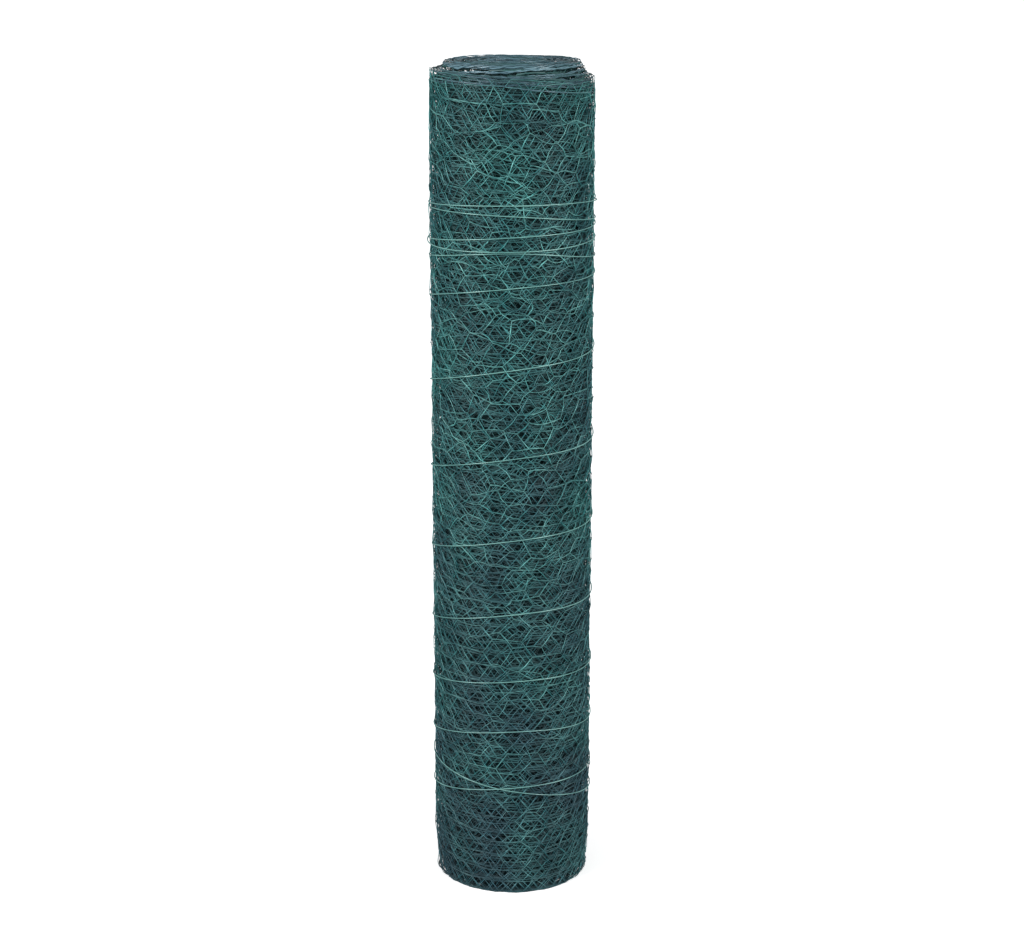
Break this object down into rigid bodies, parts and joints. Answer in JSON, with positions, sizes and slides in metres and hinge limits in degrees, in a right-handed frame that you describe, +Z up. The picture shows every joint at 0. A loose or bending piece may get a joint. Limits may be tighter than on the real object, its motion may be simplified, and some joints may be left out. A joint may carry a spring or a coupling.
{
  "type": "hexagonal wire netting roll",
  "caption": "Upright roll of green plastic-coated hexagonal wire netting for a garden fence, wound round a hollow middle and tied with a thin binding wire.",
  "frame": {"origin": "middle of the lower end of the roll, on the floor that it stands on", "axes": "+Z up along the roll's axis; -Y is the side seen from the front and +X is its right"},
  "size_m": [0.15, 0.1501, 0.75],
  "materials": {
    "netting": "dark green plastic coating on twisted steel wire, satin sheen",
    "binding_wire": "thin lighter green plastic-coated wire, glossy"
  },
  "bodies": {
    "root": {"netting_roll": "netting", "binding_wire": "binding_wire"}
  },
  "joints": []
}
